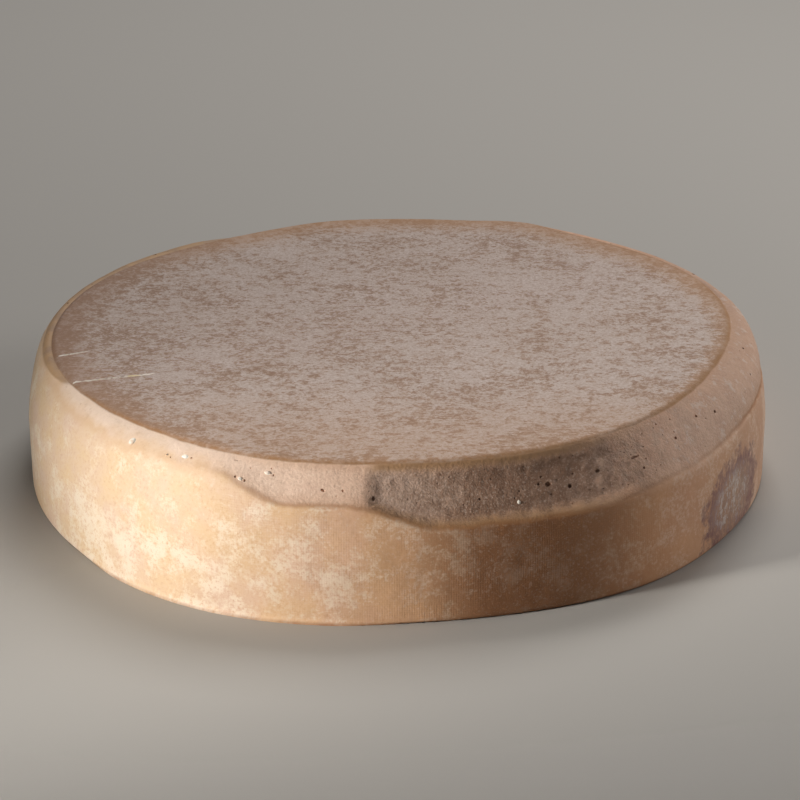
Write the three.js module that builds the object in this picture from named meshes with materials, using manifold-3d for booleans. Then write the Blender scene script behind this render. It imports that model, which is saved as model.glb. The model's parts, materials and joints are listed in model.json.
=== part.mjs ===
import * as THREE from 'three';
import { mergeVertices } from 'three/addons/utils/BufferGeometryUtils.js';
import Module from 'manifold-3d';

// A whole wheel of pressed, washed-rind cheese, lying on its flat underside. Millimetres, +Z up.
// The origin is the centre of the underside. Azimuths are degrees, counter-clockwise from +X as
// seen from above. The worn side of the wheel faces -Y, which is azimuth 270.
//
// Every upright section runs from the middle of the underside out to the foot, up the wall to the
// ledge, over the shoulder band to the rim, and across the top face to its middle.

// Driving dimensions
const HEIGHT = 62;
const HEEL_RADIUS = 161.1;
const HEEL_HEIGHT = 26;
const RIM_RADIUS = 148.1;

// The wall is upright up to the heel's height and draws in above it, by a power curve.
const WALL_DRAW_IN = 7.5;
const WALL_CURVE = 1.8;

// The wheel is not a true circle. Each swell pushes a ring out by size mm at its azimuth, or in
// where size is negative, and dies away as a bell curve reach degrees wide.
const HEEL_SWELLS = [
  { at: 51, reach: 37, size: 1.5 },
  { at: 184, reach: 25, size: -1.5 },
  { at: 244, reach: 22, size: 5.1 },
  { at: 307, reach: 16, size: 3.2 },
];
const RIM_SWELLS = [
  { at: 22, reach: 23, size: 1.7 },
  { at: 66, reach: 8, size: 5.4 },
  { at: 127, reach: 20, size: -4.0 },
  { at: 249, reach: 17, size: 3.3 },
  { at: 339, reach: 25, size: -5.4 },
];

// The ledge is where the shoulder band meets the wall. It lies high all round, and each sag lowers
// it by drop mm between two azimuths, easing in and out over the degrees given.
const LEDGE_HEIGHT = 59.5;
const LEDGE_SAGS = [
  { from: 206, easeIn: 4, to: 12, easeOut: 28, drop: 2.8 },
  { from: 249.5, easeIn: 11, to: 8, easeOut: 24, drop: 9.0 },
  { from: 271.5, easeIn: 15, to: 308, easeOut: 16, drop: 7.4 },
  { from: 318, easeIn: 16, to: 4, easeOut: 20, drop: 3.0 },
  { from: 80, easeIn: 28, to: 118, easeOut: 24, drop: 9.0 },
];

// Where the rind was rubbed away the band is hollow between rim and ledge, by depth mm. The step at
// azimuth 267.5 is where the rind broke off in a sheet.
const WORN_HOLLOWS = [
  { from: 249.5, easeIn: 11, to: 316, easeOut: 18, depth: 1.1 },
  { from: 267.5, easeIn: 3, to: 302, easeOut: 16, depth: 2.4 },
  { from: 80, easeIn: 28, to: 118, easeOut: 24, depth: 1.3 },
];
const HOLLOW_TOP_SHARE = 0.3;
const HOLLOW_FOOT_SHARE = 0.78;

// The band is slightly rounded everywhere, and full and round on the right-hand side.
const BAND_CROWN = 0.6;
const FULL_SHOULDER = { from: 328, easeIn: 26, to: 12, easeOut: 24, crown: 3.4 };

// Rounded edges: the rim of the top face, the lip of the ledge and the foot. The row in the middle
// of a rounding lies CORNER_BEND of the rounding in from the corner, both ways.
const RIM_DROP = 1.2;
const RIM_ROUND = 1.6;
const LEDGE_ROUND = 0.4;
const LEDGE_DROP = 1.2;
const FOOT_ROUND = 2.0;
const CORNER_BEND = 0.3;

// A thin lip of rind was squeezed out along the foot, front left.
const FOOT_LIP = { from: 222, easeIn: 12, to: 268, easeOut: 14, reach: 0.9 };

// The top face is a very shallow dish with soft waves, flat again at the rim.
const DISH_DEPTH = 0.5;
const WAVE_HEIGHT = 0.25;
const WAVE_LENGTH = 118;

// Spacing of the upright sections, closer along the broken front of the band.
const FINE_STEP = 1.25;
const COARSE_STEP = 3.6;
const FINE_FROM = 240;
const FINE_TO = 312;

// Rows of points on each part of a section, as shares of the way along it.
const UNDERSIDE_ROWS = [0, 0.35, 0.7, 0.93];
const WALL_ROWS = [0, 0.12, 0.34, 0.58, 0.82];
const BAND_ROWS = [0.88, 0.76, 0.56, 0.36, 0.2, 0.08];
const TOP_ROWS = [0.94, 0.8, 0.6, 0.4, 0.2, 0];

// Pits in the band, as azimuth, share of the way from rim to ledge, width and height.
const PITS = [
  [229.5, 0.83, 1.6, 1.4],
  [237.0, 0.92, 0.9, 0.9],
  [239.5, 0.71, 2.2, 1.2],
  [247.0, 0.25, 1.8, 0.7],
  [248.0, 0.85, 1.2, 1.4],
  [248.8, 0.76, 1.2, 1.3],
  [252.2, 0.32, 1.8, 1.6],
  [260.0, 0.61, 2.0, 1.6],
  [262.8, 0.61, 1.3, 1.1],
  [267.3, 0.68, 1.6, 2.4],
  [268.0, 0.80, 1.5, 2.0],
  [268.2, 0.25, 1.2, 1.6],
  [282.0, 0.64, 1.2, 1.2],
  [287.8, 0.76, 1.6, 1.3],
  [292.4, 0.53, 1.5, 1.3],
  [295.6, 0.63, 2.1, 1.7],
  [300.5, 0.49, 2.3, 1.4],
  [307.0, 0.53, 3.2, 1.1],
  [308.0, 0.80, 1.2, 1.1],
  [316.4, 0.64, 1.3, 1.2],
  [323.1, 0.41, 1.2, 1.2],
  [327.7, 0.56, 1.6, 1.4],
  [344.0, 0.61, 1.1, 1.1],
  [350.5, 0.27, 1.3, 1.2],
];
const PIT_BASE_DEPTH = 0.3;
const PIT_DEPTH_RATIO = 0.5;

// Pits scattered along the far side of the band.
const FAR_PIT_COUNT = 12;
const FAR_PITS_FROM = 15;
const FAR_PITS_TO = 172;
const FAR_PIT_JITTER = 0.8;
const FAR_PIT_SHARES = [0.3, 0.8];
const FAR_PIT_WIDTHS = [1.1, 2.3];
const FAR_PIT_FLATNESS = [0.6, 1];
const FAR_PIT_SEED = 41;

// Two scratches in the top face near the rim, each from one azimuth and radius to another.
const SCRATCHES = [
  { start: [194.6, 145.4], end: [193.4, 133.2], width: 1.1, depth: 0.5 },
  { start: [206.8, 147.6], end: [210.0, 114.1], width: 1.3, depth: 0.6 },
];

const UP = new THREE.Vector3(0, 0, 1);

function ease(value) {
  const t = THREE.MathUtils.clamp(value, 0, 1);
  return t * t * (3 - 2 * t);
}

// Degrees from one azimuth to another the short way round, between -180 and 180.
function turn(from, to) {
  return THREE.MathUtils.euclideanModulo(to - from + 180, 360) - 180;
}

// 1 along a stretch of the rim and 0 away from it, with each end eased about its own azimuth.
function along(stretch, azimuth) {
  const entered = ease(turn(stretch.from, azimuth) / stretch.easeIn + 0.5);
  const left = ease(turn(stretch.to, azimuth) / stretch.easeOut + 0.5);
  return entered * (1 - left);
}

function swollen(radius, swells, azimuth) {
  return swells.reduce((total, { at, reach, size }) => {
    const distance = turn(at, azimuth) / reach;
    return total + size * Math.exp(-distance * distance);
  }, radius);
}

function rimRadius(azimuth) {
  return swollen(RIM_RADIUS, RIM_SWELLS, azimuth);
}

function wallRadius(azimuth, height) {
  const aboveHeel = Math.max(0, height - HEEL_HEIGHT) / (HEIGHT - HEEL_HEIGHT);
  return swollen(HEEL_RADIUS, HEEL_SWELLS, azimuth) - WALL_DRAW_IN * aboveHeel ** WALL_CURVE;
}

function ledgeHeight(azimuth) {
  return LEDGE_SAGS.reduce((height, sag) => height - sag.drop * along(sag, azimuth), LEDGE_HEIGHT);
}

// How far the band stands out from the straight line between rim and ledge.
function bandRelief(azimuth, share) {
  const arch = 4 * share * (1 - share);
  const crown = BAND_CROWN + FULL_SHOULDER.crown * along(FULL_SHOULDER, azimuth);
  const depth = WORN_HOLLOWS.reduce((total, worn) => total + worn.depth * along(worn, azimuth), 0);
  const intoHollow = ease(share / HOLLOW_TOP_SHARE);
  const outOfHollow = ease((share - HOLLOW_FOOT_SHARE) / (1 - HOLLOW_FOOT_SHARE));
  return crown * arch - depth * intoHollow * (1 - outOfHollow);
}

// A point of the band in its section, radius and height, from the rim (0) to the ledge (1).
function bandPoint(azimuth, share) {
  const ledge = ledgeHeight(azimuth);
  const rim = new THREE.Vector2(rimRadius(azimuth), HEIGHT - RIM_DROP);
  const lip = new THREE.Vector2(wallRadius(azimuth, ledge) - LEDGE_ROUND, ledge);
  const down = lip.clone().sub(rim);
  const outward = new THREE.Vector2(-down.y, down.x).normalize();
  return rim.addScaledVector(down, share).addScaledVector(outward, bandRelief(azimuth, share));
}

// Height of the top face at a share of the way from its middle to the rim.
function topHeight(azimuth, share, radius) {
  const angle = THREE.MathUtils.degToRad(azimuth);
  const step = (2 * Math.PI * radius) / WAVE_LENGTH;
  const wave = Math.sin(step * Math.cos(angle)) * Math.cos(step * Math.sin(angle));
  return HEIGHT - (DISH_DEPTH - WAVE_HEIGHT * wave) * (1 - share * share);
}

function undersideRows(azimuth, footRadius) {
  return UNDERSIDE_ROWS.map((share) => new THREE.Vector2(share * footRadius, 0));
}

function footRows(azimuth) {
  const lip = along(FOOT_LIP, azimuth);
  const wall = wallRadius(azimuth, 0);
  const rounding = FOOT_ROUND * (1 - lip);
  return [
    new THREE.Vector2(wall - rounding + FOOT_LIP.reach * lip, 0),
    new THREE.Vector2(wall - CORNER_BEND * rounding + FOOT_LIP.reach * lip, CORNER_BEND * FOOT_ROUND),
  ];
}

function wallRows(azimuth) {
  const top = ledgeHeight(azimuth) - LEDGE_DROP;
  return [...WALL_ROWS, 1].map((share) => {
    const height = THREE.MathUtils.lerp(FOOT_ROUND, top, share);
    return new THREE.Vector2(wallRadius(azimuth, height), height);
  });
}

function bandRows(azimuth) {
  return [1, ...BAND_ROWS, 0].map((share) => bandPoint(azimuth, share));
}

function topRows(azimuth) {
  const rim = rimRadius(azimuth);
  const rimBend = new THREE.Vector2(rim - CORNER_BEND * RIM_ROUND, HEIGHT - CORNER_BEND * RIM_DROP);
  const rimEdge = new THREE.Vector2(rim - RIM_ROUND, HEIGHT);
  const face = TOP_ROWS.map((share) => {
    const radius = share * rim;
    return new THREE.Vector2(radius, topHeight(azimuth, share, radius));
  });
  return [rimBend, rimEdge, ...face];
}

// One upright section of the wheel, from the middle of the underside to the middle of the top.
function sectionAt(azimuth) {
  const foot = footRows(azimuth);
  return [
    ...undersideRows(azimuth, foot[0].x),
    ...foot,
    ...wallRows(azimuth),
    ...bandRows(azimuth),
    ...topRows(azimuth),
  ];
}

// A section's radius and height carried round to its azimuth.
function placed(azimuth, point) {
  const angle = THREE.MathUtils.degToRad(azimuth);
  return new THREE.Vector3(point.x * Math.cos(angle), point.x * Math.sin(angle), point.y);
}

function columnAzimuths() {
  const azimuths = [];
  let azimuth = 0;
  while (azimuth < 360) {
    azimuths.push(azimuth);
    azimuth += azimuth >= FINE_FROM && azimuth < FINE_TO ? FINE_STEP : COARSE_STEP;
  }
  return azimuths;
}

// A lathe gives the closed net of faces, and each of its columns then takes its own section.
function uncutWheel() {
  const azimuths = columnAzimuths();
  const rowCount = sectionAt(0).length;
  const geometry = new THREE.LatheGeometry(sectionAt(0), azimuths.length);
  const position = geometry.getAttribute('position');
  for (let column = 0; column <= azimuths.length; column += 1) {
    const azimuth = azimuths[column % azimuths.length];
    sectionAt(azimuth).forEach((point, row) => {
      const { x, y, z } = placed(azimuth, point);
      position.setXYZ(column * rowCount + row, x, y, z);
    });
  }
  return geometry;
}

// A small rounded lens, sunk into a face at a place: length along one way, width across it, and
// depth against the outward way.
function lens(place, lengthway, outward, length, width, depth) {
  const across = lengthway.clone().cross(outward);
  const turned = new THREE.Matrix4().makeBasis(
    lengthway.clone().multiplyScalar(length / 2),
    outward.clone().multiplyScalar(depth),
    across.multiplyScalar(width / 2),
  );
  return new THREE.IcosahedronGeometry(1, 1).applyMatrix4(turned.setPosition(place));
}

function pit([azimuth, share, width, height]) {
  const step = 0.01;
  const place = placed(azimuth, bandPoint(azimuth, share));
  const lower = placed(azimuth, bandPoint(azimuth, share + step)).sub(place).normalize();
  const lengthway = UP.clone().cross(place).normalize();
  const outward = lower.cross(lengthway).normalize();
  const depth = PIT_BASE_DEPTH + PIT_DEPTH_RATIO * Math.min(width, height);
  return lens(place, lengthway, outward, width, height, depth);
}

function scratch({ start, end, width, depth }) {
  const ends = [start, end].map(([azimuth, radius]) => {
    const height = topHeight(azimuth, radius / rimRadius(azimuth), radius);
    return placed(azimuth, new THREE.Vector2(radius, height));
  });
  const lengthway = ends[1].clone().sub(ends[0]);
  const length = lengthway.length();
  lengthway.normalize();
  const middle = ends[0].lerp(ends[1], 0.5);
  const outward = lengthway.clone().cross(UP).cross(lengthway).normalize();
  return lens(middle, lengthway, outward, length, width, depth);
}

function farPits() {
  THREE.MathUtils.seededRandom(FAR_PIT_SEED);
  const drawn = ([low, high]) => THREE.MathUtils.lerp(low, high, THREE.MathUtils.seededRandom());
  const spacing = (FAR_PITS_TO - FAR_PITS_FROM) / FAR_PIT_COUNT;
  return Array.from({ length: FAR_PIT_COUNT }, (_, index) => {
    const azimuth = FAR_PITS_FROM + spacing * (index + drawn([0, FAR_PIT_JITTER]));
    const share = drawn(FAR_PIT_SHARES);
    const width = drawn(FAR_PIT_WIDTHS);
    return [azimuth, share, width, width * drawn(FAR_PIT_FLATNESS)];
  });
}

const solids = await Module();
solids.setup();

function toSolid(geometry) {
  geometry.deleteAttribute('normal');
  geometry.deleteAttribute('uv');
  const merged = mergeVertices(geometry);
  return new solids.Manifold(new solids.Mesh({
    numProp: 3,
    vertProperties: new Float32Array(merged.getAttribute('position').array),
    triVerts: new Uint32Array(merged.index.array),
  }));
}

function toGeometry(solid) {
  const { vertProperties, triVerts } = solid.getMesh();
  const geometry = new THREE.BufferGeometry();
  geometry.setAttribute('position', new THREE.BufferAttribute(vertProperties, 3));
  geometry.setIndex(new THREE.BufferAttribute(triVerts, 1));
  geometry.computeVertexNormals();
  return geometry;
}

function wheelGeometry() {
  const cuts = [...PITS.map(pit), ...farPits().map(pit), ...SCRATCHES.map(scratch)];
  return toGeometry(cuts.reduce((wheel, cut) => wheel.subtract(toSolid(cut)), toSolid(uncutWheel())));
}

const rind = new THREE.MeshStandardMaterial({ color: 0xd3ab86, roughness: 0.72, metalness: 0 });

const wheel = new THREE.Mesh(wheelGeometry(), rind);
wheel.name = 'wheel';

const group = new THREE.Group();
group.name = 'raclette_wheel';
group.add(wheel);

export default group;
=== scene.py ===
# %% [markdown]
# # A whole wheel of raclette cheese
#
# The object is one washed-rind cheese wheel, lying on its flat underside. It is a single piece, so
# the lesson is about one surface: its sections, its worn shoulder, its pits, and a rind whose
# colour changes from the top face to the wall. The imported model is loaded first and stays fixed,
# because the looks are fitted to it and not the other way round.

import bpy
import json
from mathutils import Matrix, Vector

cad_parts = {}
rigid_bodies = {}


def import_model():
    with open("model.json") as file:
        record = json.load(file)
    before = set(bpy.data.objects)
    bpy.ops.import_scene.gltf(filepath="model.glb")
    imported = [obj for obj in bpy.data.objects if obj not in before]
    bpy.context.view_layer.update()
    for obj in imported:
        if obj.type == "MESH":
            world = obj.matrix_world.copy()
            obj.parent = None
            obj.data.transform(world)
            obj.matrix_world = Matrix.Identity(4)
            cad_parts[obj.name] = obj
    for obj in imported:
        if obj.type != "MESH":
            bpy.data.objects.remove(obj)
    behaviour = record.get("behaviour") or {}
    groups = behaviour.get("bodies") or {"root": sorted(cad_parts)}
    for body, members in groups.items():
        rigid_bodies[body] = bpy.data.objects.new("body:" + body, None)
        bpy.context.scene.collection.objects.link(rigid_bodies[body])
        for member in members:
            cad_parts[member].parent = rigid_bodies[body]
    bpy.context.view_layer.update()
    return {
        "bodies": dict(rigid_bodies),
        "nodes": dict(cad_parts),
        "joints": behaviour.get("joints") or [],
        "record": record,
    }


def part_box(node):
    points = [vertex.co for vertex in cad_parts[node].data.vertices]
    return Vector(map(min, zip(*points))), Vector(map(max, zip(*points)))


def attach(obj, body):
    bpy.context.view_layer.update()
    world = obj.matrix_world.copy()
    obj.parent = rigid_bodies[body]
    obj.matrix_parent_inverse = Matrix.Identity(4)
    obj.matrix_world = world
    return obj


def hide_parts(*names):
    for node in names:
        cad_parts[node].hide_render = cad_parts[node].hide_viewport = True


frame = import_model()
print("packed nodes:", sorted(frame["nodes"]))

# %% [markdown]
# ## Driving sizes
#
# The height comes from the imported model. The other sizes are the ones the wheel was built from:
# a ring for the widest part of the wall and a ring for the rim of the top face. Everything is in
# millimetres until the mesh is written, because a rind is easier to think about in millimetres.

# %% Driving sizes
import json
import math

import bpy
import numpy as np
from mathutils import Matrix, Vector

MM = 0.001
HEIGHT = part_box("wheel")[1][2] / MM
HEEL_RADIUS = 161.1
HEEL_HEIGHT = 26
RIM_RADIUS = 148.1
WALL_DRAW_IN = 7.5
WALL_CURVE = 1.8
print(f"the wheel is {HEIGHT:.1f} mm high")

# %% [markdown]
# ## An uneven outline
#
# A pressed wheel is never a true circle. It sags where it was turned on its shelf, and the rim
# keeps the shape of the press lid. A scan could hold such an outline as hundreds of points. A few
# bell curves added to a circle say the same in a form that can be read and changed.

# %% Rings with swells
HEEL_SWELLS = [(51, 37, 1.5), (184, 25, -1.5), (244, 22, 5.1), (307, 16, 3.2)]
RIM_SWELLS = [(22, 23, 1.7), (66, 8, 5.4), (127, 20, -4.0), (249, 17, 3.3), (339, 25, -5.4)]


def ease(value):
    """0 below 0, 1 above 1, and the smooth step 3t^2 - 2t^3 between them."""
    t = np.clip(value, 0, 1)
    return t * t * (3 - 2 * t)


def turn(start, azimuth):
    """Degrees from one azimuth to another the short way round, between -180 and 180."""
    return (azimuth - start + 180) % 360 - 180


def swollen(radius, swells, azimuth):
    """A radius plus, for each swell (at, reach, size), size * exp(-(distance / reach)^2)."""
    return radius + sum(
        size * np.exp(-((turn(at, azimuth) / reach) ** 2)) for at, reach, size in swells
    )


def rim_radius(azimuth):
    """Radius of the rim of the top face, in mm."""
    return swollen(RIM_RADIUS, RIM_SWELLS, azimuth)


def wall_radius(azimuth, height):
    """The heel ring, drawn in above the heel's height by a power curve of the height."""
    above_heel = np.clip(height - HEEL_HEIGHT, 0, None) / (HEIGHT - HEEL_HEIGHT)
    return swollen(HEEL_RADIUS, HEEL_SWELLS, azimuth) - WALL_DRAW_IN * above_heel**WALL_CURVE


all_round = np.arange(360)
print(f"rim radius from {rim_radius(all_round).min():.1f} to {rim_radius(all_round).max():.1f} mm")

# %% [markdown]
# ## The ledge and the worn band
#
# Under the rim runs a shoulder band, and where it meets the wall there is a ledge. At the front
# the rind was rubbed and broken away, so the ledge sags and the band is hollow. Each sag or hollow
# is a stretch of azimuths with soft ends: a product of two smooth steps. A stretch that starts or
# ends at a broken edge has a very short soft end there. The ledge is crisp where the rind broke,
# a little blurred by wear on the right, and well rounded on the rest of the wheel.

# %% Ledge height and band relief
# A stretch is its start, soft start, end and soft end in degrees, and its size in mm if it has one.
LEDGE_HEIGHT = 59.5
LEDGE_SAGS = [
    (206, 4, 12, 28, 2.8),
    (249.5, 11, 8, 24, 9.0),
    (270, 13, 306, 14, 3.2),
    (270, 13, 330, 20, 2.4),
    (270, 13, 4, 20, 3.5),
    (80, 28, 118, 24, 9.0),
]
WORN_HOLLOWS = [(249.5, 11, 316, 18, 0.4), (266.9, 3, 302, 16, 1.8), (80, 28, 118, 24, 0.9)]
HOLLOW_TOP_SHARE = 0.3
HOLLOW_FOOT_SHARE = 0.78
BAND_CROWN = 0.6
FULL_SHOULDER = (328, 26, 12, 24, 3.4)
CRISP_STRETCH = (246, 14, 10, 30)
BLURRED_STRETCH = (304, 14, 334, 10)
BLUR = 0.45
SOFT_LIP_FACTOR = 4


def along(stretch, azimuth):
    """1 between two azimuths and 0 outside, each end eased over its own number of degrees."""
    start, ease_in, end, ease_out = stretch[:4]
    entered = ease(turn(start, azimuth) / ease_in + 0.5)
    left = ease(turn(end, azimuth) / ease_out + 0.5)
    return entered * (1 - left)


def sized(stretch, azimuth):
    """A stretch's own size between its two azimuths, eased to 0 at its ends."""
    return stretch[4] * along(stretch, azimuth)


def ledge_height(azimuth):
    """The plain ledge height less each sag's drop along its stretch."""
    return LEDGE_HEIGHT - sum(sized(sag, azimuth) for sag in LEDGE_SAGS)


def crispness(azimuth):
    """1 where the ledge was broken clean, less where wear has blurred it, 0 where it is rounded."""
    return along(CRISP_STRETCH, azimuth) * (1 - BLUR * along(BLURRED_STRETCH, azimuth))


def lip_size(azimuth):
    """1 where the ledge is crisp, and the soft factor where the shoulder is still rounded."""
    return SOFT_LIP_FACTOR + (1 - SOFT_LIP_FACTOR) * crispness(azimuth)


def band_relief(azimuth, share):
    """A parabola for the crown, less the hollows, which ease in below the rim and out at the lip."""
    arch = 4 * share * (1 - share)
    crown = BAND_CROWN + sized(FULL_SHOULDER, azimuth)
    depth = sum(sized(hollow, azimuth) for hollow in WORN_HOLLOWS)
    into = ease(share / HOLLOW_TOP_SHARE)
    out = ease((share - HOLLOW_FOOT_SHARE) / (1 - HOLLOW_FOOT_SHARE))
    return crown * arch - depth * into * (1 - out)


print(f"ledge from {ledge_height(all_round).min():.1f} to {ledge_height(all_round).max():.1f} mm high")

# %% [markdown]
# ## The parts of a section
#
# Cut the wheel upright through its middle and the edge of the cut is one line: underside, foot,
# wall, lip of the ledge, band, rim, top face. Each part is a function of the azimuth and of the
# share of the way along that part, so it can be sampled as finely as it needs. The three corners
# are quadratic curves, which touch both neighbours without a crease.

# %% Section parts
RIM_DROP = 1.2
RIM_LEAN = 1.0
RIM_ROUND = 1.6
LEDGE_ROUND = 0.4
LEDGE_DROP = 1.2
FOOT_ROUND = 2.0
FOOT_LIP = (222, 12, 268, 14, 0.9)
DISH_DEPTH = 0.5
WAVE_HEIGHT = 0.25
WAVE_LENGTH = 118


def curve(start, corner, end, share):
    """Quadratic curve: start and end weighted by (1-t)^2 and t^2, the corner by 2t(1-t)."""
    weights = (1 - share) ** 2, 2 * share * (1 - share), share**2
    return [sum(w * p[axis] for w, p in zip(weights, (start, corner, end))) for axis in (0, 1)]


def foot_edge(azimuth):
    """Radius of the underside, where the foot's rounding starts or the squeezed lip stands out."""
    inset = FOOT_ROUND * (1 - along(FOOT_LIP, azimuth))
    return wall_radius(azimuth, 0) - inset + sized(FOOT_LIP, azimuth)


def underside(azimuth, share):
    """Flat, from the middle out to the foot."""
    return share * foot_edge(azimuth), 0 * share * azimuth


def foot(azimuth, share):
    """From the underside round to the bottom of the wall."""
    upright = wall_radius(azimuth, 0)
    corner = upright + sized(FOOT_LIP, azimuth)
    return curve((foot_edge(azimuth), 0), (corner, 0), (upright, FOOT_ROUND), share)


def wall(azimuth, share):
    """Straight steps in height from the foot to just under the ledge, at the wall's radius."""
    top = ledge_height(azimuth) - LEDGE_DROP * lip_size(azimuth)
    height = FOOT_ROUND + share * (top - FOOT_ROUND)
    return wall_radius(azimuth, height), height


def lip(azimuth, share):
    """The rounded lip of the ledge, from the wall to the foot of the band."""
    ledge = ledge_height(azimuth)
    start_height = ledge - LEDGE_DROP * lip_size(azimuth)
    inset = LEDGE_ROUND * lip_size(azimuth)
    below = wall_radius(azimuth, start_height), start_height
    corner = wall_radius(azimuth, ledge), ledge - inset
    inner = wall_radius(azimuth, ledge) - inset, ledge
    return curve(below, corner, inner, share)


def band(azimuth, share):
    """The straight line from rim (0) to ledge (1), moved square to itself by the band's relief."""
    ledge = ledge_height(azimuth)
    rim_place = rim_radius(azimuth), HEIGHT - RIM_DROP
    run = wall_radius(azimuth, ledge) - LEDGE_ROUND * lip_size(azimuth) - rim_place[0]
    drop = rim_place[1] - ledge
    relief = band_relief(azimuth, share) / np.hypot(run, drop)
    return rim_place[0] + share * run + relief * drop, rim_place[1] - share * drop + relief * run


def rising_band(azimuth, share):
    """The same band upwards, from ledge (0) to rim (1), as the other parts run."""
    return band(azimuth, 1 - share)


def rim(azimuth, share):
    """The rounded rim, which leans in as the band does and ends level with the top face."""
    edge = rim_radius(azimuth)
    corner = edge - RIM_LEAN
    return curve((edge, HEIGHT - RIM_DROP), (corner, HEIGHT), (corner - RIM_ROUND, HEIGHT), share)


def top_height(radius, azimuth):
    """A shallow dish with one soft wave pattern, both fading to nothing at the rim."""
    share = radius / rim_radius(azimuth)
    step = 2 * math.pi * radius / WAVE_LENGTH
    angle = np.radians(azimuth)
    wave = np.sin(step * np.cos(angle)) * np.cos(step * np.sin(angle))
    return HEIGHT - (DISH_DEPTH - WAVE_HEIGHT * wave) * (1 - share * share)


def top(azimuth, share):
    """The top face, from the rim (0) to its middle (1)."""
    radius = (1 - share) * (rim_radius(azimuth) - RIM_LEAN - RIM_ROUND)
    return radius, top_height(radius, azimuth)


# %% [markdown]
# ## Rows and columns of the surface
#
# The grid has one column for each azimuth and one row for each step along the section. A piece
# should stay under 200,000 triangles, so they go where the eye goes: columns crowd together along
# the broken front and the scratched edge, rows crowd together on the band. The columns come from
# a density, added up and read backwards.

# %% Rows and columns
COLUMNS = 850
FINE_STRETCHES = [(190, 4, 212, 4), (222, 10, 352, 16)]
FINE_FACTOR = 1.3
DENSITY_SAMPLES = 3600
ROWS = [(underside, 5), (foot, 4), (wall, 34), (lip, 4), (rising_band, 29), (rim, 4), (top, 26)]


def column_azimuths(count):
    """Azimuths spaced evenly in the running total of a density that is higher on fine stretches."""
    azimuth = np.linspace(0, 360, DENSITY_SAMPLES + 1)
    density = 1 + FINE_FACTOR * sum(along(stretch, azimuth) for stretch in FINE_STRETCHES)
    total = np.concatenate([[0], np.cumsum(0.5 * (density[1:] + density[:-1]))])
    return np.interp(np.arange(count) / count, total / total[-1], azimuth)


def section_grid(azimuths):
    """Radius and height of every grid point. The underside skips its middle, which is one vertex."""
    grids = []
    for part, count in ROWS:
        share = np.arange(count) / count
        if part is underside:
            share = np.arange(1, count + 1) / (count + 1)
        grids.append(np.broadcast_arrays(*part(azimuths[None, :], share[:, None])))
    radius = np.concatenate([grid[0] for grid in grids])
    height = np.concatenate([grid[1] for grid in grids])
    return radius, height


azimuths = column_azimuths(COLUMNS)
radius, height = section_grid(azimuths)
spacing = np.diff(azimuths)
print(f"grid {radius.shape}, columns {spacing.min():.2f} to {spacing.max():.2f} degrees apart")

# %% [markdown]
# ## Soft noise
#
# A rind is full of small unevenness with no pattern. Blender has a displacement texture for this,
# but the export drops shader displacement, so the unevenness is worked out here and becomes real
# relief. The noise is a cube of random numbers, repeated in space and blended between its points.

# %% Noise on whole arrays
NOISE_CELLS = 64


def soft_noise(points, size, seed):
    """Random numbers between -1 and 1 on a lattice `size` mm apart, blended by a smooth step."""
    table = np.random.default_rng(seed).uniform(-1, 1, (NOISE_CELLS,) * 3)
    cell = np.floor(points / size)
    part = points / size - cell
    blend = part * part * (3 - 2 * part)
    low = cell.astype(int) % NOISE_CELLS
    high = (low + 1) % NOISE_CELLS
    total = np.zeros(points.shape[:-1])
    for corner in np.ndindex(2, 2, 2):
        index = [np.where(c, high[..., i], low[..., i]) for i, c in enumerate(corner)]
        weight = np.prod([blend[..., i] if c else 1 - blend[..., i] for i, c in enumerate(corner)], axis=0)
        total += weight * table[tuple(index)]
    return total


def rough_noise(points, size, seed, octaves):
    """Soft noises added up, each with half the size and half the strength of the one before."""
    return sum(soft_noise(points, size / 2**n, seed + n) / 2**n for n in range(octaves))


# %% [markdown]
# ## Where a point lies on the rind
#
# Both the relief and the colours ask the same questions of a point: how far is it past the rim,
# how far below the ledge, is it on the dirty patch. The answers are worked out from the point's
# place alone, so they can be asked again of the finished mesh, once the pits are cut into it.

# %% Zones of the rind
DIRTY_STRETCH = (266.8, 2.6, 304, 22)
DIRTY_SHARES = (0.14, 0.88)
DIRTY_FADE = 0.28
# Painted shade: the stretch of the band on the left that the low key light misses is painted brown.
RIM_SHADE_STRETCH = (118, 30, 206, 4)
RIM_SHADE_SLANT = 9
RIM_SHADE_END = 1.1
RIM_SHADE_FADE = 0.5
# Browned rind at the front, which also carries painted shade where the key light falls off.
BROWNED_AND_SHADED_STRETCH = (277, 14, 301, 24)
RIM_BLEND_START = -6
RIM_BLEND = 5


def polar(points):
    """Azimuth in degrees and radius in mm of points given in mm."""
    azimuth = np.degrees(np.arctan2(points[..., 1], points[..., 0])) % 360
    return azimuth, np.hypot(points[..., 0], points[..., 1])


def rim_distance(points):
    """How far past the rim, plus how far below the top: negative on the top face."""
    azimuth, radius = polar(points)
    past = radius - rim_radius(azimuth)
    below = (HEIGHT - points[..., 2]) * ease((past - RIM_BLEND_START) / RIM_BLEND)
    return past + below


def ledge_distance(points):
    """How far below the ledge: negative on the band and the top face."""
    azimuth, _ = polar(points)
    return ledge_height(azimuth) - points[..., 2]


def band_share(points):
    """Share of the height from the rim (0) down to the ledge (1), at the point's own azimuth."""
    azimuth, _ = polar(points)
    rim_height = HEIGHT - RIM_DROP
    return (rim_height - points[..., 2]) / (rim_height - ledge_height(azimuth))


def dirtiness(points):
    """The dirty stretch of azimuths, faded out towards the rim and towards the ledge."""
    azimuth, _ = polar(points)
    share = band_share(points)
    below_rim = ease((share - DIRTY_SHARES[0]) / DIRTY_FADE + 0.5)
    above_lip = 1 - ease((share - DIRTY_SHARES[1]) / DIRTY_FADE + 0.5)
    return along(DIRTY_STRETCH, azimuth) * below_rim * above_lip


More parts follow.
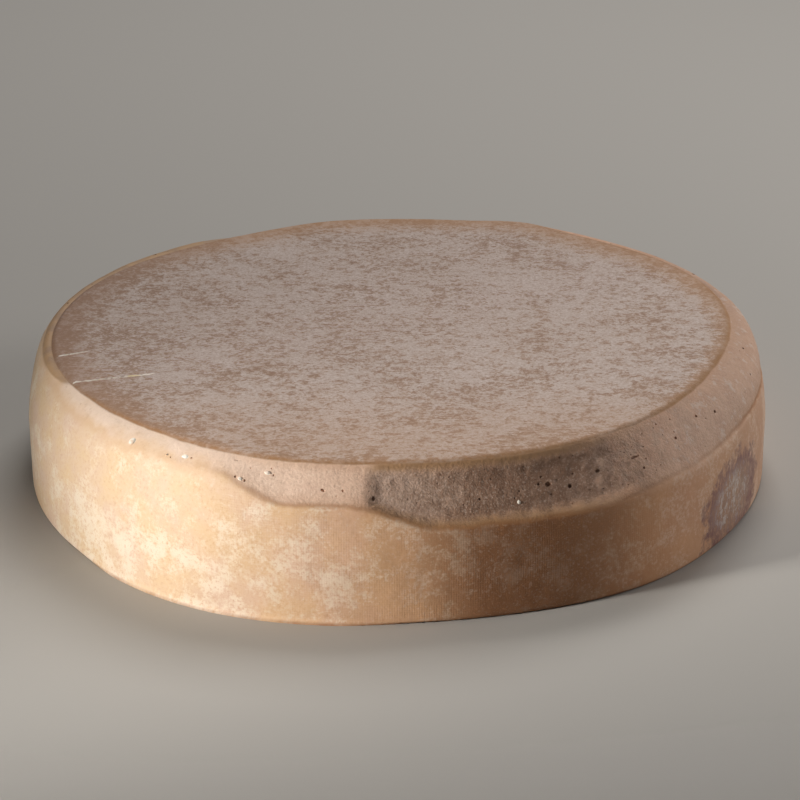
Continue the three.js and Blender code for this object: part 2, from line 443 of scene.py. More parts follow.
def rim_shading(points):
    """Painted shade in brown: the stretch of the band on the left that the low key light misses, which
    slants back and fades out below the ledge.
    """
    azimuth, _ = polar(points)
    share = band_share(points)
    above_end = 1 - ease((share - RIM_SHADE_END) / RIM_SHADE_FADE)
    return along(RIM_SHADE_STRETCH, azimuth + RIM_SHADE_SLANT * share) * above_end


# %% [markdown]
# ## Relief of the rind
#
# Five layers of unevenness are moved along the surface's own normal: slow hand-made swells that
# fade out down the wall, a finer crumple on band and wall, the unevenness of the dry film on the
# top face, pores on the band, and a rough broken texture on the dirty patch. The underside stays
# flat, because the wheel rests on it.

# %% Relief along the normals
# A layer is its height and size in mm, the seed of its noise and how many octaves are added up.
SWELL_LAYER = (0.3, 34, 3, 1)
CRUMPLE_LAYER = (0.11, 7, 11, 3)
FILM_LAYER = (0.07, 5, 23, 3)
PORE_LAYER = (0.1, 2.6, 31, 2)
BROKEN_LAYER = (0.16, 2.6, 47, 3)
SIDE_BLEND = 2
BAND_BLEND = 3
SWELL_END = 36
SWELL_FADE = 30
CALM_FOOT = 5
TINY = 1e-9


def to_points(azimuth, radius, height):
    """Azimuth, radius and height turned into x, y and z, in mm."""
    angle = np.radians(azimuth)
    return np.stack([radius * np.cos(angle), radius * np.sin(angle), height + 0 * angle], axis=-1)


def grid_normals(points):
    """Outward unit normals: the step round the wheel crossed with the step up the section."""
    round_step = np.roll(points, -1, axis=1) - np.roll(points, 1, axis=1)
    up_step = np.gradient(points, axis=0)
    normal = np.cross(round_step, up_step)
    return normal / np.maximum(np.linalg.norm(normal, axis=-1, keepdims=True), TINY)


def layer(points, height, size, seed, octaves):
    """One layer of relief in mm: rough noise of its own size, times its height."""
    return height * rough_noise(points, size, seed, octaves)


def rind_relief(points):
    """Each layer times the share with which it shows there, all calmed down towards the foot."""
    rim_mm = rim_distance(points)
    on_side = ease(rim_mm / SIDE_BLEND)
    on_band = on_side * (1 - ease(ledge_distance(points) / BAND_BLEND + 1))
    swells = ease((SWELL_END - rim_mm) / SWELL_FADE) * layer(points, *SWELL_LAYER)
    crumple = on_side * layer(points, *CRUMPLE_LAYER)
    film = (1 - on_side) * layer(points, *FILM_LAYER)
    pores = on_band * layer(points, *PORE_LAYER)
    broken = dirtiness(points) * layer(points, *BROKEN_LAYER)
    return ease(points[..., 2] / CALM_FOOT) * (swells + crumple + film + pores + broken)


points = to_points(azimuths[None, :], radius, height)
relief = rind_relief(points)
points = points + grid_normals(points) * relief[..., None]
print(f"relief from {relief.min():.2f} to {relief.max():.2f} mm")

# %% [markdown]
# ## From grid to mesh
#
# The grid is closed like a barrel: each row is a ring, neighbouring rings are joined by quads, and
# a fan of triangles closes the middle of the underside and of the top face.

# %% Write the mesh
def ring_faces(rows, columns):
    """Quads between rings, with vertex numbers row * columns + column, wrapped round the wheel."""
    row, column = np.meshgrid(np.arange(rows - 1), np.arange(columns), indexing="ij")
    here = row * columns + column
    beside = row * columns + (column + 1) % columns
    return np.stack([here, beside, beside + columns, here + columns], axis=-1).reshape(-1, 4)


def fan_faces(ring, middle):
    """Triangles from each step of a ring to one middle vertex."""
    return np.stack([ring, np.roll(ring, -1), np.full_like(ring, middle)], axis=-1)


def mesh_object(name, vertices, faces):
    """A new smooth-shaded object at the origin, from vertices in mm and lists of faces."""
    mesh = bpy.data.meshes.new(name)
    mesh.from_pydata((np.asarray(vertices) * MM).tolist(), [], faces)
    mesh.polygons.foreach_set("use_smooth", np.ones(len(mesh.polygons), dtype=bool))
    mesh.update()
    made = bpy.data.objects.new(name, mesh)
    bpy.context.scene.collection.objects.link(made)
    return made


def barrel(grid, bottom, cap):
    """Vertices and faces of a closed barrel from its rings and its two middle points."""
    rows, columns = grid.shape[:2]
    count = rows * columns
    vertices = np.concatenate([grid.reshape(-1, 3), [bottom, cap]])
    ring = np.arange(columns)
    bottom_fan = fan_faces(ring[::-1], count)
    cap_fan = fan_faces(ring + count - columns, count + 1)
    return vertices, ring_faces(rows, columns).tolist() + bottom_fan.tolist() + cap_fan.tolist()


cap_height = points[-1, :, 2].mean()
wheel_vertices, wheel_faces = barrel(points, (0, 0, 0), (0, 0, cap_height))
wheel = mesh_object("cheese_wheel", wheel_vertices, wheel_faces)
print(f"wheel mesh: {len(wheel_vertices)} vertices, {len(wheel_faces)} faces")

# %% [markdown]
# ## Pits, pores and scratches
#
# The press leaves small holes in the band, and wear opens them. A pit is only one or two
# millimetres wide, less than a few grid steps, so denting the grid would blur it. Instead each pit
# is a small uneven lens, worked out from a ball of two angles, and a Boolean modifier cuts all the
# lenses away at once. The larger pits are listed one by one where they catch the eye. Those on the
# far side and the fine pores are drawn from a seeded generator.

# %% Pits as lenses
# A pit or crumb is its azimuth, its share of the way down the band, its width and height in mm.
PITS = np.array([
    (237.0, 0.92, 0.7, 0.7),
    (240.3, 0.70, 1.0, 0.8),
    (247.0, 0.25, 1.8, 0.6),
    (247.7, 0.84, 0.9, 1.1),
    (249.1, 0.79, 1.0, 1.0),
    (252.8, 0.36, 0.8, 0.8),
    (260.0, 0.61, 1.7, 1.4),
    (262.8, 0.61, 1.0, 0.9),
    (267.0, 0.70, 1.5, 2.0),
    (282.0, 0.59, 1.0, 1.0),
    (290.9, 0.48, 1.3, 1.0),
    (292.4, 0.50, 2.4, 1.7),
    (295.6, 0.58, 2.1, 1.8),
    (300.5, 0.46, 2.5, 1.4),
    (307.0, 0.46, 3.2, 1.1),
    (308.0, 0.67, 1.2, 1.1),
    (316.4, 0.47, 1.3, 1.2),
    (323.1, 0.35, 1.2, 1.2),
    (327.7, 0.49, 1.6, 1.4),
    (344.0, 0.59, 1.1, 1.1),
    (350.5, 0.27, 1.3, 1.2),
])
CRUMBS = np.array([
    (236.2, 0.86, 0.9, 0.8),
    (239.2, 0.71, 2.8, 1.6),
    (248.4, 0.82, 1.9, 1.3),
    (251.9, 0.34, 2.4, 1.4),
    (287.6, 0.70, 1.2, 1.5),
    (229.0, 0.84, 2.8, 3.0),
])
PIT_BASE_DEPTH = 0.1
PIT_DEPTH_RATIO = 0.5
CRUMB_LIFT = 0.55
# Drawn pits are their number, first and last azimuth, range of shares and range of widths.
FAR_PITS = (12, 15, 172, (0.3, 0.8), (1.1, 2.3))
EVEN_PORES = (60, 0, 360, (0.15, 0.85), (0.4, 0.8))
DIRTY_PORES = (60, 271, 318, (0.12, 0.86), (0.4, 0.9))
LARGEST_SHIFT = 0.8
FLATTEST = 0.6
PORE_SEED = 41
PIT_STEPS = (12, 8)
PORE_STEPS = (8, 6)
LENS_UNEVENNESS = 0.4
LENS_NOISE = {"size": 1, "seed": 5}
LENS_NOISE_STEP = 7
PLACE_STEP = 0.01


def drawn_pits(generator, count, start, end, shares, widths):
    """Pits spread along a stretch of azimuths, each one a little off its even place."""
    spacing = (end - start) / count
    azimuth = start + spacing * (np.arange(count) + generator.uniform(0, LARGEST_SHIFT, count))
    width = generator.uniform(*widths, count)
    flatness = generator.uniform(FLATTEST, 1, count)
    return np.stack([azimuth, generator.uniform(*shares, count), width, width * flatness], axis=-1)


def unit_ball(round_steps, up_steps):
    """Points and faces of a ball from two angles, closed by a fan at each pole."""
    turn_angle = 2 * np.pi * np.arange(round_steps) / round_steps
    rise = np.pi * (np.arange(1, up_steps) / up_steps - 0.5)
    ring = np.cos(rise)[:, None]
    level = np.broadcast_to(np.sin(rise)[:, None], (up_steps - 1, round_steps))
    rings = np.stack([ring * np.cos(turn_angle), ring * np.sin(turn_angle), level], axis=-1)
    return barrel(rings, (0, 0, -1), (0, 0, 1))


def lenses(centres, frames, half_sizes, steps=PIT_STEPS):
    """One ball for each centre, stretched along its own three directions and made uneven."""
    ball, faces = unit_ball(*steps)
    shapes = ball[None] * half_sizes[:, None]
    apart = LENS_NOISE_STEP * np.arange(len(centres))[:, None, None]
    uneven = 1 + LENS_UNEVENNESS * soft_noise(ball[None] + apart, **LENS_NOISE)
    placed = centres[:, None] + np.einsum("nvi,nij->nvj", shapes * uneven[..., None], frames)
    offsets = len(ball) * np.arange(len(centres))
    copies = [[vertex + offset for vertex in face] for offset in offsets.tolist() for face in faces]
    return placed.reshape(-1, 3), copies


def band_places(azimuth, share):
    """Places on the band and their directions: round the wheel, up the band, outward."""
    here = to_points(azimuth, *band(azimuth, share))
    beside = to_points(azimuth + PLACE_STEP, *band(azimuth + PLACE_STEP, share))
    round_way = beside - here
    up_way = here - to_points(azimuth, *band(azimuth, share + PLACE_STEP))
    round_way /= np.linalg.norm(round_way, axis=-1, keepdims=True)
    outward = np.cross(round_way, up_way)
    outward /= np.linalg.norm(outward, axis=-1, keepdims=True)
    raised = here + rind_relief(here)[..., None] * outward
    return raised, np.stack([round_way, np.cross(outward, round_way), outward], axis=1)


def pit_shapes(pits):
    """Centres, directions and half sizes of the pits, each as deep as its smaller side allows."""
    azimuth, share, width, tall = pits.T
    depth = PIT_BASE_DEPTH + PIT_DEPTH_RATIO * np.minimum(width, tall)
    return *band_places(azimuth, share), np.stack([width / 2, tall / 2, depth], axis=-1)


generator = np.random.default_rng(PORE_SEED)
pits = np.concatenate([PITS, drawn_pits(generator, *FAR_PITS)])
even_pores = drawn_pits(generator, *EVEN_PORES)
pores = np.concatenate([even_pores, drawn_pits(generator, *DIRTY_PORES)])
print(f"{len(pits)} pits up to {pits[:, 2].max():.1f} mm and {len(pores)} pores, {len(CRUMBS)} crumbs")

# %% [markdown]
# Two scratches run in from the rim on the left, where a knife or a hook has scored the face. They
# are the same lens, long and thin, laid on the top face.

# %% Scratches as long lenses
# A scratch is its two ends, each an azimuth and a radius in mm.
SCRATCHES = np.array([
    ((194.6, 145.4), (193.4, 133.2)),
    ((206.8, 147.6), (210.0, 114.1)),
])
SCRATCH_WIDTH = 1.4
SCRATCH_DEPTH = 0.35
SCRATCH_STEPS = (24, 8)


def scratch_ends():
    """The two ends of each scratch as points on the top face, raised by its relief."""
    azimuth, radius = SCRATCHES[..., 0], SCRATCHES[..., 1]
    ends = to_points(azimuth, radius, top_height(radius, azimuth))
    ends[..., 2] += rind_relief(ends)
    return ends


def scratch_lenses():
    """A lens between the two ends of each scratch."""
    ends = scratch_ends()
    lengthway = ends[:, 1] - ends[:, 0]
    length = np.linalg.norm(lengthway, axis=-1)
    lengthway /= length[:, None]
    across = np.cross([0, 0, 1], lengthway)
    frames = np.stack([lengthway, across, np.cross(lengthway, across)], axis=1)
    half_width = np.full_like(length, SCRATCH_WIDTH / 2)
    depth = np.full_like(length, SCRATCH_DEPTH)
    half_sizes = np.stack([length / 2, half_width, depth], axis=-1)
    return lenses(ends.mean(axis=1), frames, half_sizes, SCRATCH_STEPS)


def joined(*shapes):
    """Several lists of points and faces as one, with the face numbers moved up to match."""
    points = np.concatenate([vertices for vertices, _ in shapes])
    starts = np.cumsum([0] + [len(vertices) for vertices, _ in shapes[:-1]]).tolist()
    faces = [[v + start for v in face] for start, (_, many) in zip(starts, shapes) for face in many]
    return points, faces


pit_lenses = lenses(*pit_shapes(pits))
pore_lenses = lenses(*pit_shapes(pores), PORE_STEPS)
holes = mesh_object("holes", *joined(pit_lenses, pore_lenses, scratch_lenses()))

# %% [markdown]
# Beside some pits a crumb of fresh paste has stayed on the rind. A crumb is a lens too, only it is
# added before the pits are cut. The manifold solver keeps a closed surface closed and works on a
# mesh of this size in a moment. Each result is applied straight away, and its lenses are removed.

# %% Add the crumbs and cut the pits
CREASE_ANGLE = math.radians(38)


def crumb_shapes(crumbs):
    """Lenses like the pits', flatter, and lifted so that they stand out of the rind."""
    centres, frames, half_sizes = pit_shapes(crumbs)
    half_sizes[:, 2] = CRUMB_LIFT
    return centres, frames, half_sizes


def combine(target, operation, other):
    """Add the other closed mesh to the target or cut it away, and keep only the result."""
    boolean = target.modifiers.new(operation, "BOOLEAN")
    boolean.operation = operation
    boolean.solver = "MANIFOLD"
    boolean.object = other
    depsgraph = bpy.context.evaluated_depsgraph_get()
    finished = bpy.data.meshes.new_from_object(target.evaluated_get(depsgraph))
    target.modifiers.clear()
    target.data = finished
    bpy.data.objects.remove(other)


combine(wheel, "UNION", mesh_object("crumbs", *lenses(*crumb_shapes(CRUMBS))))
combine(wheel, "DIFFERENCE", holes)
wheel.data.set_sharp_from_angle(angle=CREASE_ANGLE)
triangles = sum(len(face.vertices) - 2 for face in wheel.data.polygons)
print(f"after the cut: {len(wheel.data.vertices)} vertices, {triangles} triangles")

# %% [markdown]
# ## Telling the rind's material where it is
#
# The rind changes from zone to zone, and the zones follow the rim and the ledge, not a flat
# picture. So each vertex is given a few numbers: its distance past the rim and below the ledge in
# millimetres, its distance from the nearest pit, crumb and scratch, its place from the middle of
# the dye mark, how dirty the rind is there, how browned and painted dark as shade at the front,
# how much painted shade the left band gets where the low light misses it, and how crisp its ledge.
# Distances blend evenly across a face, so a shader can draw a line that is sharper than the mesh
# itself.

# %% Zone attributes
MARK_AZIMUTH = 329.5
MARK_HEIGHT = 14.5
FAR_AWAY = 12


def vertex_points(target):
    """The vertices of a mesh as an array, in mm."""
    flat = np.empty(3 * len(target.data.vertices), dtype=np.float32)
    target.data.vertices.foreach_get("co", flat)
    return flat.reshape(-1, 3).astype(float) / MM


def lens_distance(points, centres, frames, half_sizes):
    """Distance to the nearest lens's middle, in that lens's own half sizes: 1 is its surface."""
    nearest = np.full(len(points), float(FAR_AWAY))
    for centre, frame, half_size in zip(centres, frames, half_sizes):
        distance = np.linalg.norm((points - centre) @ frame.T / half_size, axis=-1)
        nearest = np.minimum(nearest, distance)
    return nearest


def scratch_distance(points):
    """Distance in mm to the nearest scratch, taken as the line between its two ends."""
    nearest = np.full(len(points), float(FAR_AWAY))
    for start, end in scratch_ends():
        run = end - start
        share = np.clip((points - start) @ run / (run @ run), 0, 1)
        nearest = np.minimum(nearest, np.linalg.norm(points - start - share[:, None] * run, axis=-1))
    return nearest


def mark_place(points):
    """Millimetres round the wall and up it, from the middle of the dye mark."""
    azimuth, radius = polar(points)
    round_way = np.radians(turn(MARK_AZIMUTH, azimuth)) * radius
    return np.stack([round_way, points[:, 2] - MARK_HEIGHT, np.zeros(len(points))], axis=-1)


def store(target, name, values):
    """Write one number, or one vector, to each vertex."""
    values = np.asarray(values, dtype=np.float32)
    kind, field = ("FLOAT", "value") if values.ndim == 1 else ("FLOAT_VECTOR", "vector")
    target.data.attributes.new(name, kind, "POINT").data.foreach_set(field, values.ravel())


places = vertex_points(wheel)
place_azimuths, _ = polar(places)
store(wheel, "rim_mm", rim_distance(places))
store(wheel, "ledge_mm", ledge_distance(places))
store(wheel, "dirt", dirtiness(places))
store(wheel, "pit", lens_distance(places, *pit_shapes(pits)))
store(wheel, "crumb", lens_distance(places, *crumb_shapes(CRUMBS)))
store(wheel, "scratch_mm", scratch_distance(places))
store(wheel, "grimy", along(DIRTY_STRETCH, place_azimuths))
store(wheel, "browned_and_shaded", along(BROWNED_AND_SHADED_STRETCH, place_azimuths))
store(wheel, "rim_shade", rim_shading(places))
store(wheel, "crisp", crispness(place_azimuths))
store(wheel, "mark_place", mark_place(places))
print("attributes:", sorted(a.name for a in wheel.data.attributes if not a.is_internal))

# %% [markdown]
# ## Shader arithmetic
#
# A rind needs dozens of small sums of masks and noises. Written node by node they are unreadable,
# so one small class wraps a node's output and lets Python's own signs add the Math nodes.

# %% Wires
# The numbers of the Mix node's sockets when it mixes colours.
MIX_SHARE = 0
MIX_FIRST = 6
MIX_SECOND = 7
MIX_RESULT = 2
# The curve that turns a screen's values into light.
SCREEN_KNEE = 0.04045
SCREEN_SLOPE = 12.92
SCREEN_OFFSET = 0.055
SCREEN_POWER = 2.4


class Wire:
    """The output of a shader node. Arithmetic on it adds Math nodes to the same material."""

    def __init__(self, tree, socket):
        self.tree = tree
        self.socket = socket

    def node(self, kind, settings, values, output=0):
        """A new node: its settings first, then the numbers or wires of its sockets."""
        made = self.tree.nodes.new(kind)
        for name, setting in settings.items():
            setattr(made, name, setting)
        for name, value in values.items():
            if isinstance(value, Wire):
                self.tree.links.new(value.socket, made.inputs[name])
            else:
                made.inputs[name].default_value = value
        return Wire(self.tree, made.outputs[output] if len(made.outputs) else None)

    def math(self, operation, *values):
        """One Math node on up to three values."""
        return self.node("ShaderNodeMath", {"operation": operation}, dict(enumerate(values)))

    def __add__(self, other):
        return self.math("ADD", self, other)

    def __radd__(self, other):
        return self.math("ADD", other, self)

    def __sub__(self, other):
        return self.math("SUBTRACT", self, other)

    def __rsub__(self, other):
        return self.math("SUBTRACT", other, self)

    def __mul__(self, other):
        return self.math("MULTIPLY", self, other)

    def __rmul__(self, other):
        return self.math("MULTIPLY", other, self)

    def __or__(self, other):
        return self.math("MAXIMUM", self, other)

    def rise(self, low, high):
        """0 at low, 1 at high and a smooth step between, falling instead where low is above high."""
        values = {"Value": self, "From Min": low, "From Max": high}
        return self.node("ShaderNodeMapRange", {"interpolation_type": "SMOOTHSTEP"}, values)

    def line(self, middle, half_width):
        """1 where the value is at the middle, falling smoothly to 0 on both sides."""
        return self.math("ABSOLUTE", self - middle).rise(half_width, 0)

    def centred(self):
        """Noise lowered by a half, so that it swings about 0."""
        return self - 0.5

    def between(self, at_zero, at_one):
        """A number that goes from the first to the second as this wire goes from 0 to 1."""
        return at_zero + (at_one - at_zero) * self

    def mix(self, without, with_it, strength=1):
        """Two colours mixed, this wire times the strength being the share of the second."""
        share = self if strength == 1 else self * strength
        values = {MIX_SHARE: share, MIX_FIRST: without, MIX_SECOND: with_it}
        return self.node("ShaderNodeMix", {"data_type": "RGBA"}, values, MIX_RESULT)


def paint(red, green, blue):
    """A colour as it looks on a screen, 0 to 255, turned into the linear values a shader uses."""
    shares = np.array([red, green, blue]) / 255
    curved = ((shares + SCREEN_OFFSET) / (1 + SCREEN_OFFSET)) ** SCREEN_POWER
    linear = np.where(shares <= SCREEN_KNEE, shares / SCREEN_SLOPE, curved)
    return (*linear.tolist(), 1)


# %% [markdown]
# ## Reading the zones in the material
#
# The material reads the object's own coordinates, in millimetres, and the attributes written
# above. From these come the three zones: top face, band and wall. A mask rises from its first
# number to its second, so each one is written as such a pair: places are in millimetres, and
# levels are the values of a noise. A wandering edge is moved to and fro by a noise.

# %% Coordinates and zones in the material
LEFTWARD = (70, -120)
WANDER = 1.6
SOFT_WANDER = 10
TOP_EDGE = (1.6, 0.4)
CRISP_EDGE = (-1.0, 0.6)
SOFT_EDGE = (-5, 6)


def stretched(place, shares):
    """The same place with each coordinate multiplied, so that a pattern is drawn out along some."""
    return place.node("ShaderNodeVectorMath", {"operation": "MULTIPLY"}, {0: place, 1: shares})


def new_material(name):
    """An empty node material, and a wire to start from: the object coordinates in mm."""
    material = bpy.data.materials.new(name)
    material.use_nodes = True
    tree = material.node_tree
    tree.nodes.clear()
    coordinates = Wire(tree, tree.nodes.new("ShaderNodeTexCoord").outputs["Object"])
    return material, stretched(coordinates, (1 / MM, 1 / MM, 1 / MM))


def attribute(place, name, output="Fac"):
    """A number stored on the mesh, or with output Vector a stored vector."""
    return place.node("ShaderNodeAttribute", {"attribute_name": name}, {}, output)


def noise(place, size, detail=3, roughness=0.5):
    """Cloudy noise between about 0.2 and 0.8, with features about `size` mm across."""
    values = {"Vector": place, "Scale": 1 / size, "Detail": detail, "Roughness": roughness}
    return place.node("ShaderNodeTexNoise", {}, values)


def axis(place, name):
    """One coordinate of a vector."""
    return place.node("ShaderNodeSeparateXYZ", {}, {"Vector": place}, name)


rind, place = new_material("rind")
rim_mm = attribute(place, "rim_mm")
ledge_mm = attribute(place, "ledge_mm")
crisp = attribute(place, "crisp")
leftward = axis(place, "X").rise(*LEFTWARD)
edge_wander = noise(place, size=9).centred()
on_top = (rim_mm + WANDER * edge_wander).rise(*TOP_EDGE)
crisp_ledge = (ledge_mm + WANDER * edge_wander).rise(*CRISP_EDGE)
soft_ledge = (ledge_mm + SOFT_WANDER * edge_wander).rise(*SOFT_EDGE)
on_wall = crisp * crisp_ledge + (1 - crisp) * soft_ledge


def report(step):
    """Print how many nodes the rind's material has after a step."""
    print(f"{step}: {len(rind.node_tree.nodes)} nodes")


report("zones")

# %% [markdown]
# ## The top face
#
# The top carries a thin dry film, pinkish grey, left by washing. It is lightest where it lies
# thick. Where it is thin the rind gives it a tan tone in patches of a few millimetres, and where it
# is missing there are dark specks of a millimetre or two. So there are four tones and three noises,
# and each noise helps to set the level of the next, so that the specks crowd in the thin places.
# Faint streaks, stronger near the front, are left by the washing brush. Towards the rim the film
# wears off in a tan ring, wider at the back and on the left and browner on the far left, that ends
# in a thin brown line. The line is wider on the right.

# %% Top face colour
FILM = paint(184, 162, 148)
FILM_LIGHT = paint(208, 194, 188)
BARE = paint(170, 136, 110)
BARE_DARK = paint(134, 96, 68)
RIM_TAN = paint(184, 138, 96)
RIM_BROWN = paint(160, 124, 100)
RIM_LINE = paint(164, 120, 76)
FAR_LEFT = (-50, -150)
BACKWARD = (-60, 110)
FORWARD = (-60, -145)
RIGHTWARD = (20, 130)
FLECK_STRETCH = (0.85, 1, 1)
BRUSH_STRETCH = (0.2, 1, 1)
MIRROR = (-1, 1, 1)
THIN_LEVELS = (0.42, 0.64)
BARE_LEVELS = (0.51, 0.65)
LIGHT_LEVELS = (0.36, 0.62)
SPECKS_IN_PATCHES = 0.6
PATCHES_IN_SPECKS = 0.5
SLOW_IN_WEAR = 0.3
BRUSH_IN_WEAR = (0.1, 0.25)
RING_IN_WEAR = 0.04
FAR_LEFT_IN_WEAR = 0.05
RING_WIDTH = 8
RING_EXTRA_WIDTH = 20
RING_WANDER = 14
RING_END = -1
RING_SHARES = (0.4, 0.65)
FRONT_SHARES = (0.3, 0.5)
LINE_WIDTH = 2.2
LINE_WANDER = 1.2
LINE_END = 0.2
LINE_LEVELS = (0.4, 0.6)
LINE_SHARES = (0.3, 0.65)
LINE_EXTRA_SHARE = 0.2
LINE_RIM_SHADE_LOSS = 0.7


def film_wear(place, slow, ring, forward, far_left):
    """What wears the film away beside its own patches: slow noise, brush streaks, nearness to the rim."""
    brushed = noise(stretched(place, BRUSH_STRETCH), size=1.6)
    wear = SLOW_IN_WEAR * slow.centred() + forward.between(*BRUSH_IN_WEAR) * brushed.centred()
    return wear + RING_IN_WEAR * ring + FAR_LEFT_IN_WEAR * far_left


def rim_line(rim_mm, patches, slow, rightward, rim_shade):
    """The thin line at the rim: wider and stronger on the right, weaker where the band carries the painted
    rim shade.
    """
    line = (rim_mm + LINE_WANDER * patches.centred()).rise(-LINE_WIDTH - LINE_WIDTH * rightward, LINE_END)
    strength = slow.rise(*LINE_LEVELS).between(*LINE_SHARES) + LINE_EXTRA_SHARE * rightward
    return line * strength * (1 - LINE_RIM_SHADE_LOSS * rim_shade)


def top_colour(place, rim_mm, rim_shade):
    """Film, tan where it is thin, dark specks where it is missing, and the ring and line by the rim."""
    far_left = axis(place, "X").rise(*FAR_LEFT)
    wide_side = axis(place, "Y").rise(*BACKWARD) | far_left
    forward = axis(place, "Y").rise(*FORWARD)
    rightward = axis(place, "X").rise(*RIGHTWARD)
    flecked = stretched(place, FLECK_STRETCH)
    slow = noise(place, size=34)
    patches = noise(flecked, size=4, detail=5, roughness=0.7)
    dark_specks = noise(flecked, size=1.5, detail=5, roughness=0.8)
    light_specks = noise(stretched(flecked, MIRROR), size=1.1, detail=5, roughness=0.8)
    ring_start = -RING_WIDTH - RING_EXTRA_WIDTH * wide_side
    ring = (rim_mm + RING_WANDER * patches.centred()).rise(ring_start, RING_END)
    wear = film_wear(place, slow, ring, forward, far_left)
    thin = (patches + SPECKS_IN_PATCHES * dark_specks.centred() + wear).rise(*THIN_LEVELS)
    bare = (dark_specks + PATCHES_IN_SPECKS * patches.centred() + wear).rise(*BARE_LEVELS)
    colour = light_specks.rise(*LIGHT_LEVELS).mix(FILM, FILM_LIGHT)
    colour = thin.mix(colour, BARE, strength=0.6)
    colour = bare.mix(colour, BARE_DARK, strength=0.6)
    ring_share = ring * wide_side.between(*RING_SHARES) | forward * rightward.between(*FRONT_SHARES)
    colour = ring_share.mix(colour, far_left.mix(RIM_TAN, RIM_BROWN))
    return rim_line(rim_mm, patches, slow, rightward, rim_shade).mix(colour, RIM_LINE), bare


rim_shade = attribute(place, "rim_shade")
top_paint, bare_film = top_colour(place, rim_mm, rim_shade)
report("top face")

# %% [markdown]
# ## The wall
#
# The wall was pressed against cloth, and a fine weave still shows in it, less than a millimetre
# from thread to thread. Over the peach-coloured ground lies a cream bloom. It is not a coat of
# paint: it is made of grains, dense in the middle of a patch and scattered at its edge, so a grainy
# noise is added to the slow one before the level is taken. Below the dirty patch the ground is
# browned, and painted darker there as shade where the key light falls off. The weave is two waves,
# one counted round the wheel and one up the wall. The count round the wheel is a whole number, so
# the pattern meets itself without a seam.

# %% Wall colour
PEACH = paint(228, 173, 129)
PEACH_DEEP = paint(206, 150, 108)
CREAM = paint(252, 236, 214)
CREAM_YELLOW = paint(240, 213, 173)
CREAM_ROSE = paint(238, 212, 190)
ROSE = paint(212, 158, 128)
FOOT_LINE = paint(150, 98, 58)
WALL_BROWN_AND_SHADE = paint(146, 98, 62)
WALL_ROSE_GREY = paint(192, 158, 136)
LOW_WALL = (48, 18)
FAR_RIGHT = (80, 160)
DEEP_LEVELS = (0.38, 0.62)
ROSE_LEVELS = (0.45, 0.68)
PALE_LEVELS = (0.36, 0.72)
BLOOM_LEVELS = (0.48, 0.79)
BLOOM_SHARES = (0.3, 0.85)
BLOOM_BROWNED_AND_SHADED_LOSS = 0.6
SLOW_IN_BLOOM = 0.5
FINE_IN_BLOOM = 0.9
BLOBS_IN_BLOOM = 0.4
THREADS_IN_BLOOM = 0.02
LOW_LEFT_IN_BLOOM = 0.12
PALE_FLECK_LEVELS = (0.52, 0.68)
PALE_FLECK_SHARES = (0.15, 0.6)
DEEP_FLECK_LEVELS = (0.48, 0.32)
DEEP_FLECK_SHARES = (0.45, 0.3)
FOOT_LINE_HEIGHTS = (1.6, 0.2)
FOOT_LINE_LEVELS = (0.3, 0.7)
FOOT_LINE_LEAST = 0.6
THREADS_ROUND = 1080
THREAD_PITCH = 0.93


def weave(place):
    """Threads up the wall and round it, as two waves added together, between -1 and 1."""
    angle = place.math("ARCTAN2", axis(place, "Y"), axis(place, "X"))
    upright = place.math("SINE", angle * THREADS_ROUND)
    level = place.math("SINE", axis(place, "Z") * (2 * math.pi / THREAD_PITCH))
    return 0.5 * upright + 0.5 * level


def wall_ground(place, slow, leftward, browned_and_shaded):
    """Peach and rose in slow clouds, paler to the left (partly painted light where the key light falls),
    greyer on the far right, browned at the front and painted darker there as shade.
    """
    ground = slow.rise(*DEEP_LEVELS).mix(PEACH, PEACH_DEEP)
    ground = noise(place, size=26).rise(*ROSE_LEVELS).mix(ground, ROSE, strength=0.35)
    pale = noise(place, size=19, detail=4, roughness=0.6).rise(*PALE_LEVELS)
    # Partly the rind's own cream, partly painted light: the wall is paler towards the left, where the low
    # key light falls.
    ground = leftward.mix(ground, pale.mix(CREAM_YELLOW, CREAM_ROSE), strength=0.85)
    ground = axis(place, "X").rise(*FAR_RIGHT).mix(ground, WALL_ROSE_GREY, strength=0.6)
    # Partly the rind's own brown, partly painted shade where the key light falls off.
    return browned_and_shaded.mix(ground, WALL_BROWN_AND_SHADE, strength=0.95)


def wall_bloom(place, slow, fine, threads, leftward):
    """Where the bloom lies: a middle-sized noise, helped on by the others and low on the left."""
    low_left = axis(place, "Z").rise(*LOW_WALL) * leftward
    middle = noise(place, size=13, roughness=0.55)
    blobs = noise(place, size=4.5, detail=2)
    patchy = middle + SLOW_IN_BLOOM * slow.centred() + FINE_IN_BLOOM * fine.centred()
    patchy = patchy + BLOBS_IN_BLOOM * blobs.centred() + THREADS_IN_BLOOM * threads
    return (patchy + LOW_LEFT_IN_BLOOM * low_left).rise(*BLOOM_LEVELS)


